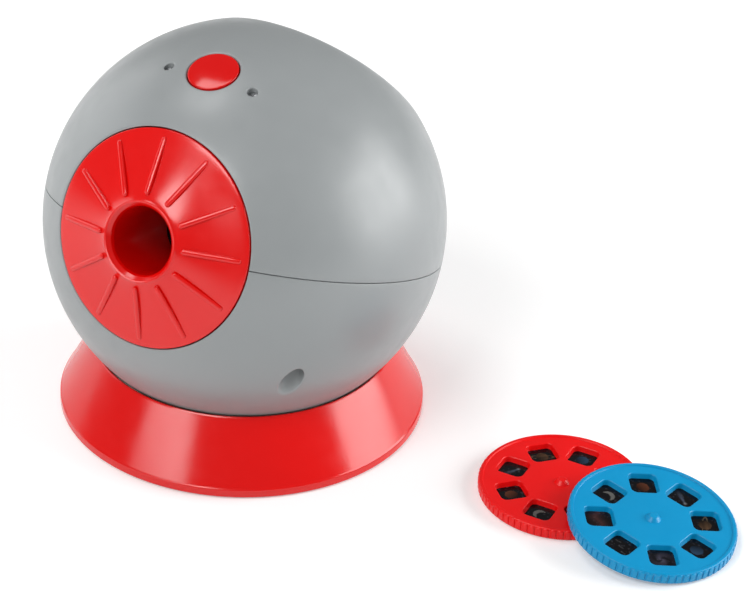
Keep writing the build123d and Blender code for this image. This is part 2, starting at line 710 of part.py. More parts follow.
def switch_lead():
    end = BUTTON_AT * Pos(0, 0, SWITCH_TOP - SWITCH_H)
    y, z = end.position.Y, end.position.Z
    side = LEG_X - 1.0
    front = -LEG_Y - 9.0
    low = BOARD_TOP + 2.5
    points = [(0, y, z), (0, y + 3.0, z - 4.0), (side, front, z - 10), (side, front, low)]
    points += [(9, front, low), (9, -BOARD_Y + 0.5, low)]
    return lead(points, 0.8)


def battery_leads():
    shapes = []
    for x, y in feed_spots():
        side = 1 if y > 0 else -1
        low = (BOX_TOP + BOARD_Z) / 2
        end = side * (BOARD_Y - 1)
        points = [(x, y, CELL_Z + 5), (x, y, low), (x, end, low), (x, end, BOARD_Z)]
        shapes.append(lead(points, 0.5))
    return group(shapes)


# Picture disc: body with rim, windows and pip, film sheet and back plate
WINDOW_COUNT = 8
RIM_W = 1.8
BACK_T = 1.5
FILM_T = 0.2
BACK_LOW = 0.2
KNURLS = 72


def windows(size, z0, z1):
    cut = extrude(RectangleRounded(size, size, 1.6), z1 - z0)
    return [Rot(0, 0, 360 / WINDOW_COUNT * i - 90) * Pos(WINDOW_R, 0, z0) * cut for i in range(WINDOW_COUNT)]


def disc_body():
    film_top = BACK_LOW + BACK_T + FILM_T
    shape = cyl(DISC_R, 0, DISC_T) - cyl(DISC_R - RIM_W, -1, film_top)
    shape -= cyl(DISC_R - RIM_W - 0.2, DISC_T - 0.5, DISC_T + 1)
    for cut in windows(WINDOW, film_top - 1, DISC_T):
        shape -= cut
    for cut in windows(WINDOW + 1.4, DISC_T - 1.1, DISC_T + 1):
        shape -= cut
    knurl = cyl(0.55, -1, DISC_T + 1, DISC_R + 0.15, 0)
    shape -= [Rot(0, 0, 360 / KNURLS * i) * knurl for i in range(KNURLS)]
    dome = Pos(0, 0, DISC_T + 1.3 - 6.0) * Sphere(6.0)
    return shape + (cyl(PIP_R, DISC_T - 1, DISC_T + 2) & dome)


def disc_film():
    low = BACK_LOW + BACK_T
    return tube(WINDOW_R + WINDOW / 2 + 3, WINDOW_R - WINDOW / 2 - 3, low, low + FILM_T)


def disc_back():
    shape = cyl(DISC_R - RIM_W - 0.1, BACK_LOW, BACK_LOW + BACK_T)
    for cut in windows(WINDOW, BACK_LOW - 1, BACK_LOW + BACK_T + 1):
        shape -= cut
    return shape


# Where the loose discs lie: the blue one leans on the red one's rim
RED_X = 142.2
RED_Y = 11.1
LEAN_AZ = -9.0
DISC_STEP = 42.3
LEAN_GAP = 0.15
LEAN = math.degrees((DISC_T + LEAN_GAP) / DISC_STEP)
BLUE_Z = DISC_R * math.sin(math.radians(LEAN)) + 0.02
RED_AT = Pos(RED_X, RED_Y, 0) * Rot(0, 0, 3)
BLUE_AT = Pos(RED_X, RED_Y, 0) * Rot(0, 0, LEAN_AZ) * Pos(DISC_STEP, 0, BLUE_Z) * Rot(0, LEAN, 0) * Rot(0, 0, 44.5)
LOADED_AT = BALL * OPT * Pos(0, DISC_Z, DISC_D - DISC_T / 2)


GROUND = Pos(0, 0, 0)
EYE = BALL * OPT
BUTTON = BALL * BUTTON_AT
NODES = [
    ("base_shell", base_shell, GROUND),
    ("base_plate", base_plate, GROUND),
    ("base_screws", base_screws, GROUND),
    ("swivel_ring", swivel_ring, GROUND),
    ("upper_shell", upper_shell, BALL),
    ("lower_shell", lower_shell, BALL),
    ("shell_screws", shell_screws, BALL),
    ("battery_door", battery_door, BALL),
    ("door_screw", door_screw, BALL),
    ("battery_box", battery_box, BALL),
    ("battery_cells", battery_cells, BALL),
    ("battery_contacts", battery_contacts, BALL),
    ("control_board", control_board, BALL),
    ("board_parts", board_parts, BALL),
    ("board_screws", board_screws, BALL),
    ("frame_screws", frame_screws, BALL),
    ("lamp_leads", lamp_leads, BALL),
    ("switch_lead", switch_lead, BALL),
    ("battery_leads", battery_leads, BALL),
    ("optics_frame", optics_frame, EYE),
    ("focus_retainer", focus_retainer, EYE),
    ("retainer_screws", retainer_screws, EYE),
    ("focus_wheel", focus_wheel, EYE),
    ("cam_sleeve", cam_sleeve, EYE),
    ("lens_barrel", lens_barrel, EYE),
    ("front_lens", front_lens, EYE),
    ("rear_lens", rear_lens, EYE),
    ("lens_retainers", lens_retainers, EYE),
    ("cam_pins", cam_pins, EYE),
    ("lamp_house", lamp_house, EYE),
    ("condenser_lens", condenser_lens, EYE),
    ("led_board", led_board, EYE),
    ("led_emitter", led_emitter, EYE),
    ("heat_sink", heat_sink, EYE),
    ("power_button", power_button, BUTTON),
    ("switch_plunger", switch_plunger, BUTTON),
    ("switch_bracket", switch_bracket, BUTTON),
    ("power_switch", power_switch, BUTTON),
    ("side_screws", side_screws, BUTTON),
]
for name, make, place in NODES:
    save(name, make(), place)
for kind, place in (("loaded", LOADED_AT), ("red", RED_AT), ("blue", BLUE_AT)):
    save(kind + "_disc_body", disc_body(), place)
    save(kind + "_disc_film", disc_film(), place)
    save(kind + "_disc_back", disc_back(), place)
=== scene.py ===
import math

import bmesh
import bpy
import numpy as np
from mathutils import Matrix, Vector
from mathutils.geometry import delaunay_2d_cdt


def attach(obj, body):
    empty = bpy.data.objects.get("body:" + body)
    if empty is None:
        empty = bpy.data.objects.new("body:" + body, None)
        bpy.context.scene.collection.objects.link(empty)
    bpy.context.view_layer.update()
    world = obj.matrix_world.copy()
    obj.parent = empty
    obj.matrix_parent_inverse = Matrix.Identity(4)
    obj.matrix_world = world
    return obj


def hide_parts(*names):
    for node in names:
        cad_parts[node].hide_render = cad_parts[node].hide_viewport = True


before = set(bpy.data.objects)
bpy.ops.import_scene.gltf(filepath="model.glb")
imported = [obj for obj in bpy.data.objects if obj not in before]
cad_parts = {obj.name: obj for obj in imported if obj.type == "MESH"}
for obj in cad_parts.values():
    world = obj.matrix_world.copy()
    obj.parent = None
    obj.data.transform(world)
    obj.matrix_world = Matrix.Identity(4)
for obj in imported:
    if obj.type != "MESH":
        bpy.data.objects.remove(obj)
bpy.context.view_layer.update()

# Base shell
# One injection moulded cone in glossy red ABS: a low band round the foot, a flared
# skirt and a soft lip round the pocket. Inside, a ledge carries the swivel ring.
MM = 0.001
TONE_MM, POLISH_MM, GRAIN_MM = 28.0, 7.0, 0.6
POCKET_R, LIP_TOP = 59.97, 28.5
LEDGE_R, LEDGE_TOP, LEDGE_UNDER = 49.97, 18.3, 15.8
BAND_R, BAND_TOP = 74.3, 4.1
INSIDE_R, PLATE_R, PLATE_TOP, FOOT_Z = 71.3, 72.3, 1.8, 0.4
SHARP_DEG = 42


def linear(hex_colour):
    """An sRGB hex colour as linear red, green, blue and alpha."""
    parts = [int(hex_colour[i:i + 2], 16) / 255 for i in (1, 3, 5)]
    return [p / 12.92 if p <= 0.04045 else ((p + 0.055) / 1.055) ** 2.4 for p in parts] + [1.0]


def add(tree, kind, inputs=None, **settings):
    """One node with its settings; an input is a value or a socket to link."""
    made = tree.nodes.new(kind)
    for key, value in settings.items():
        setattr(made, key, value)
    for key, value in (inputs or {}).items():
        if isinstance(value, bpy.types.NodeSocket):
            tree.links.new(value, made.inputs[key])
        else:
            made.inputs[key].default_value = value
    return made


def per_mm(size):
    """A texture scale that gives a pattern of this size in millimetres."""
    return 1 / (size * MM)


def material(name):
    """A new material, its node tree and its main shader."""
    made = bpy.data.materials.new(name)
    made.use_nodes = True
    return made, made.node_tree, made.node_tree.nodes["Principled BSDF"]


def moulded(name, tint, shade, rough, grain, ior=1.54, spread=0.05):
    """A moulded plastic: soft shot-to-shot tone, uneven polish and the tool's fine grain."""
    finish, tree, shader = material(name)
    shader.inputs["IOR"].default_value = ior
    place = add(tree, "ShaderNodeTexCoord").outputs["Object"]
    tone = add(tree, "ShaderNodeTexNoise", {"Vector": place, "Scale": per_mm(TONE_MM), "Detail": 3.0})
    shades = {"Factor": tone.outputs["Fac"], "A": linear(shade), "B": linear(tint)}
    blend = add(tree, "ShaderNodeMix", shades, data_type="RGBA")
    tree.links.new(blend.outputs["Result"], shader.inputs["Base Color"])
    polish = add(tree, "ShaderNodeTexNoise", {"Vector": place, "Scale": per_mm(POLISH_MM), "Detail": 4.0})
    range_of = {"Value": polish.outputs["Fac"], "From Min": 0.3, "From Max": 0.7,
                "To Min": rough - spread, "To Max": rough + spread}
    tree.links.new(add(tree, "ShaderNodeMapRange", range_of).outputs["Result"], shader.inputs["Roughness"])
    # The tool's grain is under 0.1 mm; it is drawn at 0.6 mm so that it shows
    fine = add(tree, "ShaderNodeTexNoise", {"Vector": place, "Scale": per_mm(GRAIN_MM), "Detail": 2.0})
    bump = add(tree, "ShaderNodeBump", {"Height": fine.outputs["Fac"], "Strength": grain, "Distance": 0.05 * MM})
    tree.links.new(bump.outputs["Normal"], shader.inputs["Normal"])
    return finish


def rounded(corners, closed=True, steps=5):
    """A section's corners as (radius, height, rounding); each corner becomes a short arc."""
    line = []
    count = len(corners)
    for i, (r, z, bend) in enumerate(corners):
        here = Vector((r, z))
        if bend == 0 or (not closed and i in (0, count - 1)):
            line.append((r, z))
            continue
        before = (Vector(corners[i - 1][:2]) - here).normalized()
        after = (Vector(corners[(i + 1) % count][:2]) - here).normalized()
        half = before.angle(after) / 2
        middle = here + (before + after).normalized() * (bend / math.sin(half))
        start = here + before * (bend / math.tan(half)) - middle
        sweep = start.angle_signed(here + after * (bend / math.tan(half)) - middle)
        for k in range(steps + 1):
            turn = Matrix.Rotation(-sweep * k / steps, 2)
            line.append(tuple(middle + turn @ start))
    return line


def make_mesh(name, points, faces, place):
    """A mesh from millimetre points: doubles merged, faces turned outwards, put in place."""
    work = bmesh.new()
    verts = [work.verts.new(Vector(p) * MM) for p in points]
    for face in faces:
        if len(set(face)) > 2:
            work.faces.new([verts[i] for i in face])
    bmesh.ops.remove_doubles(work, verts=work.verts, dist=0.002 * MM)
    bmesh.ops.recalc_face_normals(work, faces=work.faces)
    for face in work.faces:
        face.smooth = True
    mesh = bpy.data.meshes.new(name)
    work.to_mesh(mesh)
    work.free()
    mesh.transform(place)
    mesh.set_sharp_from_angle(angle=math.radians(SHARP_DEG))
    return mesh


def lathe(line, steps, turn=(0.0, 360.0)):
    """Points and faces of a section turned about Z; part of a turn gets flat ends."""
    whole = turn[1] - turn[0] > 359.9
    rings = steps if whole else steps + 1
    points, faces = [], []
    for i in range(rings):
        a = math.radians(turn[0] + (turn[1] - turn[0]) * i / steps)
        points += [(r * math.cos(a), r * math.sin(a), z) for r, z in line]
    n = len(line)
    for i in range(steps):
        j = (i + 1) % rings
        faces += [(i * n + k, j * n + k, j * n + (k + 1) % n, i * n + (k + 1) % n) for k in range(n)]
    if not whole:
        faces += [tuple(range(n)), tuple(range((rings - 1) * n, rings * n))]
    return points, faces


def piece(name, mesh, finish, body, slot, *nodes):
    """A visible piece on its body, in place of the nodes that it dresses. The slot argument is not used."""
    made = bpy.data.objects.new(name, mesh)
    bpy.context.scene.collection.objects.link(made)
    mesh.materials.clear()
    mesh.materials.append(finish)
    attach(made, body)
    if nodes:
        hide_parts(*nodes)


# Glossy ABS: an even, deep red with soft-edged mirror images of the lamps
red_abs = moulded("glossy red ABS, moulded", "#DD0604", "#D60503", 0.19, 0.05, ior=1.52, spread=0.03)
base_section = rounded([
    (74.9, FOOT_Z, 0.4), (74.75, 3.6, 0.5), (BAND_R, BAND_TOP, 0.4), (61.07, 28.1, 0.9), (60.67, LIP_TOP, 0.0),
    (POCKET_R, LIP_TOP, 0.3), (POCKET_R, LEDGE_TOP, 0.0), (LEDGE_R, LEDGE_TOP, 0.4), (LEDGE_R, LEDGE_UNDER, 0.4),
    (62.17, LEDGE_UNDER, 0.0), (62.17, 20.6, 0.0), (INSIDE_R, BAND_TOP, 0.0), (INSIDE_R, PLATE_TOP, 0.0),
    (PLATE_R, PLATE_TOP, 0.0), (PLATE_R, FOOT_Z, 0.2),
])
base_mesh = make_mesh("base_shell", *lathe(base_section, 256), Matrix())
piece("base_cone", base_mesh, red_abs, "base", "red_abs", "base_shell")

# Base plate and its screws
# A flat moulded disc in red ABS closes the foot. Four zinc plated countersunk screws hold
# it to bosses under the ledge.
STREAK_MM = 0.4


def dress(finish, *nodes):
    """Gives the frame's own solids a finish."""
    for name in nodes:
        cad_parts[name].data.materials.clear()
        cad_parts[name].data.materials.append(finish)


def metal(name, tint, rough, brush):
    """A plain metal: brushed streaks in its polish, drawn coarser than real so that they show."""
    finish, tree, shader = material(name)
    shader.inputs["Metallic"].default_value = 1.0
    shader.inputs["Base Color"].default_value = linear(tint)
    place = add(tree, "ShaderNodeTexCoord").outputs["Object"]
    spread = add(tree, "ShaderNodeMapping", {"Vector": place, "Scale": (1.0, 1.0, brush)})
    along = {"Vector": spread.outputs["Vector"], "Scale": per_mm(STREAK_MM), "Detail": 3.0}
    streak = add(tree, "ShaderNodeTexNoise", along)
    range_of = {"Value": streak.outputs["Fac"], "To Min": rough - 0.1, "To Max": rough + 0.12}
    tree.links.new(add(tree, "ShaderNodeMapRange", range_of).outputs["Result"], shader.inputs["Roughness"])
    return finish


# Zinc plate: pale and satin, with a cold metal glint
zinc = metal("zinc plated steel", "#C9CACC", 0.32, 0.2)
dress(red_abs, "base_plate")
dress(zinc, "base_screws")

# Swivel ring
# A plain moulded ring of natural acetal with a spherical seat: slippery, off-white and
# waxy. It turns on the ledge inside the base and carries the ball.
acetal = moulded("natural acetal, moulded", "#E3E1D8", "#D9D6CB", 0.4, 0.1, ior=1.48)
dress(acetal, "swivel_ring")

# Ball shells
# Two half shells in satin grey ABS that meet on a tongue at the equator, held by four
# screws from below. A flat at the back has the disc slot, and the openings have soft lips.
BALL_R, WALL, BALL_H = 80.0, 2.4, 82.2
TILT = math.radians(18.9)
SEAM, SEAM_LIP, EYE_R, EYE_LIP = 0.15, 0.25, 42.0, 0.9
FACET_D, FACET_ROUND, FACET_LEAN = 65.563, 10.0, math.radians(57)
FACET_N = np.array((0.0, math.cos(FACET_LEAN), math.sin(FACET_LEAN)))
BUTTON_LEAN, BUTTON_HOLE_R, BUTTON_LIP = 37.0, 10.2, 0.8
# Screw holes: place and radius, then the bore's steps as (radius, height) from the lip in
SIDE_X, SIDE_Y, SIDE_R, SIDE_LIP = 18.6, -2.6, 2.0, 0.5
SIDE_STEPS = [(SIDE_R, 74.0), (1.3, 74.0), (1.3, 70.5), (4.0, 70.5)]
POST_X, POST_Y, POST_R, POST_LIP = 53.7, 38.4, 4.3, 0.7
POST_STEPS = [(POST_R, -12.0), (1.7, -12.0), (1.7, -SEAM), (6.1, -SEAM)]
# Disc slot and battery door: two x, two y and the rounding of the corners
SLOT_BOX, SLOT_LIP = (-34.2, 34.2, 39.05, 44.95, 1.2), 0.6
DOOR_BOX, DOOR_LIP = (-23.4, 23.4, -28.6, 38.0, 0.6), 0.3
TONGUE = [(78.0, -4.0), (77.35, -1.0), (77.35, 2.0), (75.85, 2.0), (75.85, -4.0)]
TONGUE_TURN = (-57.2, 237.2)
OUTER_PITCH, INNER_PITCH = 2.2, 5.0
EYE_POINTS, SEAM_POINTS = 109, 260
FACET_RINGS, FACET_POINTS, FACET_CLEAR = 7, 150, 0.012
ball_at = Matrix.Translation((0, 0, BALL_H * MM)) @ Matrix.Rotation(-TILT, 4, "X")
ROUND_STEPS = 5
ARC = [math.radians(90 * k / ROUND_STEPS) for k in range(ROUND_STEPS + 1)]


def reach(directions, inset):
    """How far the ball's surface lies from its centre: sphere, rounded edge or flat."""
    r, top, bend = BALL_R - inset, FACET_D - inset, FACET_ROUND - inset
    mid_z = top - bend
    mid_r = math.sqrt((r - bend) ** 2 - mid_z ** 2)
    cos_a = np.clip(directions @ FACET_N, -1, 1)
    a = np.arccos(cos_a)
    along = mid_r * np.sin(a) + mid_z * cos_a
    edge = along + np.sqrt(np.maximum(along ** 2 - (mid_r ** 2 + mid_z ** 2 - bend ** 2), 0))
    out = np.full(len(directions), r)
    out = np.where(a < math.atan2(mid_r, mid_z), edge, out)
    return np.where(a < math.atan2(mid_r, top), top / np.maximum(cos_a, 0.2), out)


def fill(loops, spots):
    """Triangles between an outer loop, the holes in it and free spots, in a plane."""
    flat = np.concatenate([*loops, spots]) if len(spots) else np.concatenate(loops)
    edges, start = [], 0
    for loop in loops:
        n = len(loop)
        edges += [(start + i, start + (i + 1) % n) for i in range(n)]
        start += n
    out = delaunay_2d_cdt([Vector(p) for p in flat], edges, [], 0, 1e-9)
    origin = [group[0] for group in out[3]]
    tris = np.array([[origin[i] for i in face] for face in out[2]])
    middle = flat[tris].mean(1)
    keep = inside(middle, loops[0])
    for loop in loops[1:]:
        keep &= ~inside(middle, loop)
    return tris[keep]


def inside(points, loop):
    """Which points lie inside a loop, by counting the edges that a ray crosses."""
    found = np.zeros(len(points), bool)
    x, y = points[:, 0], points[:, 1]
    ahead = np.roll(loop, -1, axis=0)
    for (x0, y0), (x1, y1) in zip(loop, ahead):
        if y0 != y1:
            crosses = ((y0 > y) != (y1 > y)) & (x < (x1 - x0) * (y - y0) / (y1 - y0) + x0)
            found ^= crosses
    return found


def skin(edges, outer_spots, inner_spots, flatten):
    """A closed wall: an outer and an inner sheet, joined round each edge by its own rings."""
    points, faces, starts = [], [], []
    for side, spots in ((0, outer_spots), (-1, inner_spots)):
        loops = [rings[side] for rings in edges]
        faces += (fill([flatten(p) for p in loops], flatten(spots)) + len(points)).tolist()
        starts.append(np.cumsum([len(points)] + [len(p) for p in loops]))
        points += [tuple(p) for p in np.concatenate([*loops, spots])]
    for e, rings in enumerate(edges):
        n = len(rings[0])
        last = starts[0][e]
        for k in range(1, len(rings)):
            here = starts[1][e] if k == len(rings) - 1 else len(points)
            if k < len(rings) - 1:
                points += [tuple(p) for p in rings[k]]
            faces += [(last + i, last + (i + 1) % n, here + (i + 1) % n, here + i) for i in range(n)]
            last = here
    return points, faces


def circle(r, n):
    """Evenly spaced points of a circle in a plan."""
    a = np.arange(n) * 2 * np.pi / n
    return np.stack([r * np.cos(a), r * np.sin(a)], 1)


def box_outline(x0, x1, y0, y1, bend, grow, pitch=1.5):
    """A rectangle with rounded corners, grown by a margin, as evenly spaced points."""
    line = []
    bend_now = bend + grow
    for cx, cy, first in ((x1, y1, 0), (x0, y1, 90), (x0, y0, 180), (x1, y0, 270)):
        mx = cx - bend if cx == x1 else cx + bend
        my = cy - bend if cy == y1 else cy + bend
        arc = [math.radians(first + 15 * k) for k in range(7)]
        line.append([(mx + bend_now * math.cos(a), my + bend_now * math.sin(a)) for a in arc])
    out = []
    for i, arc in enumerate(line):
        out += arc
        ahead = np.array(line[(i + 1) % 4][0])
        gap = max(int((x1 - x0 if i % 2 == 0 else y1 - y0) / pitch), 1)
        out += [tuple(np.array(arc[-1]) + (ahead - arc[-1]) * k / gap) for k in range(1, gap)]
    return np.array(out)


def on_ball(flat, turn, sign, inset=0.0):
    """Points of a plan across an axis, lifted along it to the ball's surface."""
    r = BALL_R - inset
    z = sign * np.sqrt(r ** 2 - flat[:, 0] ** 2 - flat[:, 1] ** 2)
    return np.column_stack([flat, z]) @ turn.T


def on_flat(flat, inset=0.0):
    """Points of a plan, lifted along Z to the flat at the back."""
    z = (FACET_D - inset - flat[:, 1] * FACET_N[1]) / FACET_N[2]
    return np.column_stack([flat, z])


def at_height(flat, z, turn):
    """Points of a plan at one height along an axis."""
    return np.column_stack([flat, np.full(len(flat), z)]) @ turn.T


def lip(outline, lift, axis, bend):
    """Rings of a rounded lip: from the surface round into the hole."""
    return [lift(outline(bend * (1 - math.sin(a)))) - axis * bend * (1 - math.cos(a)) for a in ARC]


def rim_rings(sign):
    """Rings along a half shell's own edge: round the eye opening, then along the seam."""
    rings = []
    for k in range(ROUND_STEPS + 2):
        deep = k == ROUND_STEPS + 1
        a = ARC[min(k, ROUND_STEPS)]
        z = sign * (SEAM + SEAM_LIP * (1 - math.sin(a)))
        r = EYE_R + EYE_LIP * (1 - math.sin(a))
        wall_r = BALL_R - WALL if deep else BALL_R - SEAM_LIP * (1 - math.cos(a))
        eye_depth = 0 if deep else EYE_LIP * (1 - math.cos(a))
        y = -math.sqrt((BALL_R - (WALL if deep else 0)) ** 2 - r ** 2) + eye_depth
        first = math.asin(abs(z) / r)
        turn = np.linspace(first, np.pi - first, EYE_POINTS)
        eye = np.stack([r * np.cos(turn), np.full(EYE_POINTS, y), sign * r * np.sin(turn)], 1)
        left = math.atan2(y, eye[-1][0]) % (2 * np.pi)
        right = math.atan2(y, eye[0][0]) + 2 * np.pi
        sweep = np.linspace(left, right - 2 * np.pi, SEAM_POINTS + 2)[1:-1]
        ring_r = math.sqrt(wall_r ** 2 - z ** 2)
        seam = np.stack([ring_r * np.cos(sweep), ring_r * np.sin(sweep), np.full(SEAM_POINTS, z)], 1)
        rings.append(np.concatenate([eye, seam]))
    return rings


def scatter(pitch, sign, inset, edges, clear):
    """Evenly spread points on a half shell, clear of its edges, with rings on the flat's edge."""
    n = int(4 * math.pi * BALL_R ** 2 / (pitch ** 2 * 0.87))
    i = np.arange(n) + 0.5
    z = 1 - 2 * i / n
    a = i * math.pi * (3 - math.sqrt(5))
    flat = np.sqrt(1 - z ** 2)
    way = np.stack([flat * np.cos(a), flat * np.sin(a), z], 1)
    mid_z = FACET_D - FACET_ROUND
    mid_r = math.sqrt((BALL_R - FACET_ROUND) ** 2 - mid_z ** 2)
    low, high = math.atan2(mid_r, FACET_D - inset), math.atan2(mid_r, mid_z)
    off = np.arccos(np.clip(way @ FACET_N, -1, 1))
    way = way[(off < low - FACET_CLEAR) | (off > high + FACET_CLEAR)]
    side = np.cross(FACET_N, (1.0, 0.0, 0.0))
    for turn in np.linspace(low, high, FACET_RINGS):
        ring = circle(math.sin(turn), FACET_POINTS)
        ring_way = ring[:, :1] * np.array([(1.0, 0.0, 0.0)]) + ring[:, 1:] * side + math.cos(turn) * FACET_N
        way = np.concatenate([way, ring_way])
    spots = way * reach(way, inset)[:, None]
    keep = sign * spots[:, 2] > SEAM + clear
    for loop in edges:
        for point in loop:
            keep &= ((spots - point) ** 2).sum(1) > clear ** 2
    keep &= ~((spots[:, 1] < 0) & (np.hypot(spots[:, 0], spots[:, 2]) < EYE_R + clear))
    return spots[keep]


def half_shell(sign, holes):
    """One half of the ball: points spread over both sheets, joined at the rim and the holes."""
    edges = [rim_rings(sign)] + holes

    def flatten(points):
        """The half shell laid out flat, as seen from the far pole."""
        way = points / np.linalg.norm(points, axis=1)[:, None]
        return way[:, :2] / (1 + sign * way[:, 2:])

    sheets = []
    for side, pitch, inset, clear in ((0, OUTER_PITCH, 0.0, 1.0), (-1, INNER_PITCH, WALL, 2.0)):
        spots = scatter(pitch, sign, inset, [rings[side] for rings in edges], clear)
        for rings in holes:
            spots = spots[~inside(flatten(spots), flatten(rings[side]))]
        sheets.append(spots)
    return skin(edges, *sheets, flatten)


def ball_hole(plan, bend, turn, sign, steps=()):
    """Rings of a hole through the ball: a rounded lip, any steps of a bore, the inner wall."""
    rings = lip(plan, lambda p: on_ball(p, turn, sign), sign * turn[:, 2], bend)
    for r, z in steps:
        rings.append(at_height(plan(r - steps[0][0]), z, turn))
    rings.append(on_ball(plan(steps[-1][0] - steps[0][0] if steps else 0.0), turn, sign, WALL))
    return rings


def joined(*shapes):
    """Several shapes as one set of points and faces."""
    points, faces = [], []
    for more_points, more_faces in shapes:
        faces += [tuple(i + len(points) for i in face) for face in more_faces]
        points += more_points
    return points, faces


UPRIGHT = np.eye(3)
button_turn = np.array(Matrix.Rotation(math.radians(BUTTON_LEAN), 3, "X"))
upper_holes = [ball_hole(lambda e: circle(BUTTON_HOLE_R + e, 96), BUTTON_LIP, button_turn, 1)]
for x in (-SIDE_X, SIDE_X):
    upper_holes.append(ball_hole(
        lambda e: circle(SIDE_R + e, 40) + (x, SIDE_Y), SIDE_LIP, button_turn, 1, SIDE_STEPS))
slot_rings = lip(lambda e: box_outline(*SLOT_BOX, e), on_flat, UPRIGHT[2], SLOT_LIP)
slot_rings.append(on_flat(box_outline(*SLOT_BOX, 0.0), WALL))
upper_holes.append(slot_rings)
lower_holes = []
for x in (-POST_X, POST_X):
    for y in (-POST_Y, POST_Y):
        lower_holes.append(ball_hole(
            lambda e: circle(POST_R + e, 56) + (x, y), POST_LIP, UPRIGHT, -1, POST_STEPS))
lower_holes.append(ball_hole(lambda e: box_outline(*DOOR_BOX, e), DOOR_LIP, UPRIGHT, -1))

# Satin ABS: a broad soft sheen and no sharp mirror images
grey_abs = moulded("satin grey ABS, moulded", "#919596", "#8B8F90", 0.36, 0.12)
for name, sign, holes in (("upper_shell", 1, upper_holes), ("lower_shell", -1, lower_holes)):
    shape = half_shell(sign, holes)
    if sign < 0:
        shape = joined(shape, lathe(TONGUE, 120, TONGUE_TURN))
    piece(name + "_moulding", make_mesh(name, *shape, ball_at), grey_abs, "ball", "grey_abs", name)
dress(grey_abs, "battery_door")
dress(zinc, "shell_screws", "side_screws", "door_screw")

# Power button
# A domed cap in polished red ABS, held from inside by its flange, with a hollow back and
# a stem that pushes the switch plunger.
CROWN_R, CROWN_TOP, CROWN_OUT = 120.0, 80.0, 9.0
CAP_R, FLANGE_R, HOLLOW_R, STEM_R = 9.8, 11.6, 8.0, 2.4
CAP_EDGE, HOLLOW_TOP, FLANGE_TOP, FLANGE_UNDER, STEM_END = 79.56, 78.1, 76.14, 74.74, 71.0
button_at = ball_at @ Matrix.Rotation(math.radians(BUTTON_LEAN), 4, "X")
crown_base = CROWN_TOP - CROWN_R
crown = [(r, crown_base + math.sqrt(CROWN_R ** 2 - r ** 2), 0.0) for r in np.linspace(0, CROWN_OUT, 10)]
button_section = rounded(crown + [
    (CAP_R, CAP_EDGE, 0.45), (CAP_R, FLANGE_TOP, 0.2), (FLANGE_R, FLANGE_TOP, 0.3), (FLANGE_R, FLANGE_UNDER, 0.3),
    (HOLLOW_R, FLANGE_UNDER, 0.3), (HOLLOW_R, HOLLOW_TOP, 0.5), (STEM_R, HOLLOW_TOP, 0.4), (STEM_R, STEM_END, 0.3),
    (0.0, STEM_END, 0.0),
], closed=False)
button_mesh = make_mesh("power_button", *lathe(button_section, 96), button_at)
# Polished ABS: sharper, smaller mirror images than the mouldings round it
polished_red = moulded("polished red ABS, moulded", "#D60604", "#D00504", 0.1, 0.02, ior=1.45, spread=0.02)
piece("button_cap", button_mesh, polished_red, "button", "red_abs", "power_button")

# Focus wheel
# A conical face in glossy red ABS that turns by hand: a skirt inside the eye opening, a
# nozzle with a rolled lip, and straight grip ribs that stand a little proud of the face.
eye_at = ball_at @ Matrix.Rotation(math.radians(90.0), 4, "X")
FACE_OUT, FACE_RIM = 41.0, 68.35
FACE_IN, FACE_TOP = 15.6, 77.85
DISH = 3.0
SKIRT_R, SKIRT_IN, SKIRT_TOP, SKIRT_END = 41.6, 39.2, 68.1, 62.8
BORE_R, TUBE_R, TUBE_END = 12.9, 15.0, 38.0
RIB_W, RIB_CROWN, RIB_ROOT, RIB_COUNT, RIB_FIRST = 2.2, 0.9, 2.6, 12, 4.0
RIB_OUT, RIB_IN = (39.4, 69.45), (17.9, 77.7)


def face_height(r):
    """The face rises to the nozzle in a shallow dish, steepest at the lip."""
    t = (FACE_OUT - r) / (FACE_OUT - FACE_IN)
    return FACE_RIM + (FACE_TOP - FACE_RIM) * t - DISH * t ** 1.2 * (1 - t) ** 0.6


dish_radii = np.concatenate([np.linspace(40.4, 20.0, 22), np.linspace(19.0, 15.75, 9)])
dish = [(r, face_height(r), 0.0) for r in dish_radii]
wheel_section = rounded([(SKIRT_R, SKIRT_END, 0.3), (SKIRT_R, SKIRT_TOP, 0.4)] + dish + [
    (FACE_IN, FACE_TOP, 0.0), (15.35, 78.0, 0.12), (14.7, 77.9, 0.4), (13.3, 76.5, 1.2), (BORE_R, 75.2, 0.8),
    (BORE_R, TUBE_END, 0.2), (TUBE_R, TUBE_END, 0.2), (TUBE_R, 73.4, 0.0), (16.0, 74.0, 0.0),
    (SKIRT_IN, 66.4, 0.0), (SKIRT_IN, SKIRT_END, 0.3),
])


